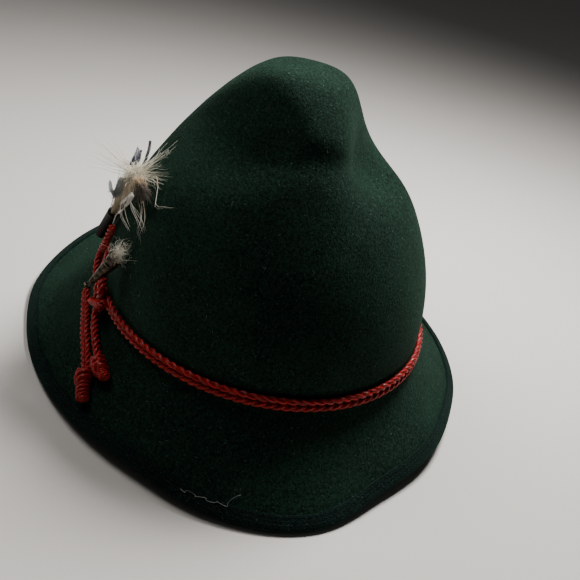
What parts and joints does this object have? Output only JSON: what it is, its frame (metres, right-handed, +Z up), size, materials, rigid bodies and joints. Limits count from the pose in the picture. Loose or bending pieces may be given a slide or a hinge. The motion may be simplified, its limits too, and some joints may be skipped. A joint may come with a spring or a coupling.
{
  "type": "tyrolean hat",
  "caption": "Dark green felt hat with a pinched crown, a turned-down brim, a twisted red cord and a feather ornament in a holder.",
  "frame": {"origin": "on the surface that the hat rests on, under the middle of the brim", "axes": "+Z up out of the crown, -Y to the front of the hat, -X to the wearer's right, where the trim is"},
  "size_m": [0.25, 0.2954, 0.1698],
  "materials": {
    "felt": "fine short-haired wool felt",
    "edge_felt": "folded felt edge with rows of stitches",
    "red_cord": "satin twisted cord",
    "bronze": "dull antique bronze",
    "holder_leather": "smooth dark brown",
    "cream_fluff": "soft feather fluff",
    "white_feather": "satin feather",
    "grey_feather": "matt feather",
    "blue_feather": "banded blue-black feather",
    "black_quill": "satin black quill"
  },
  "bodies": {
    "root": {"felt_body": "felt", "brim_band": "edge_felt", "cord_lower": "red_cord", "cord_upper": "red_cord", "cord_knot": "red_cord", "cord_loop": "red_cord", "tail_doubled": "red_cord", "tail_doubled_knot": "red_cord", "tail_twisted": "red_cord", "tail_twisted_knot": "red_cord", "bell": "bronze", "bell_tuft": "cream_fluff", "feather_holder": "holder_leather", "plume": "cream_fluff", "feather_white": "white_feather", "feather_grey": "grey_feather", "feather_jay": "blue_feather", "quill_black": "black_quill"}
  },
  "joints": []
}
